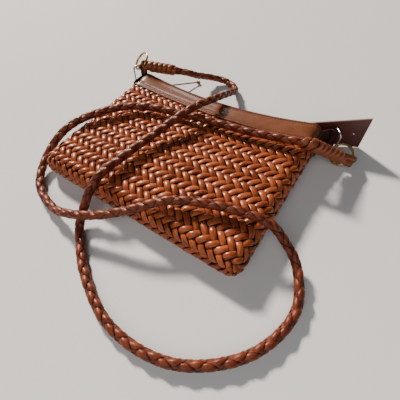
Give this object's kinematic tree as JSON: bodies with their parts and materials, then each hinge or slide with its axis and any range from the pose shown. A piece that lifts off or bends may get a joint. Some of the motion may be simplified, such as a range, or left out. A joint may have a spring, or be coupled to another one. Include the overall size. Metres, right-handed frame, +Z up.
{
  "type": "woven leather clutch with a braided strap",
  "caption": "Flat zipped clutch of plaited leather strips lying on its back, with a plain band round the mouth, rings at its corners and a long round braided leather strap looped over it.",
  "frame": {"origin": "on the ground under the middle of the box round the bag, its tab and its rings, without the strap", "axes": "+X across the bag towards the zip's end tab, +Y from the bottom edge to the mouth, +Z up from the ground"},
  "size_m": [0.3129, 0.3333, 0.0478],
  "materials": {
    "woven_leather": "waxed gloss",
    "band_leather": "smooth satin",
    "strap_leather": "waxed gloss",
    "tab_leather": "matt",
    "zip_cloth": "twill tape",
    "brass": "worn polish",
    "steel": "bright wire"
  },
  "bodies": {
    "root": {"woven_body": "woven_leather", "mouth_band": "band_leather", "zip_panel_front": "zip_cloth", "zip_panel_back": "zip_cloth", "zip_teeth": "steel", "zip_slider": "steel", "zip_pull": "strap_leather", "end_tab": "tab_leather", "side_loop_left": "band_leather", "side_loop_right": "band_leather", "side_link_left": "steel", "side_link_right": "steel", "strap_ring_left": "brass", "strap_ring_right": "brass", "strap_end_left": "strap_leather", "strap_end_right": "strap_leather", "strap": "strap_leather"}
  },
  "joints": []
}
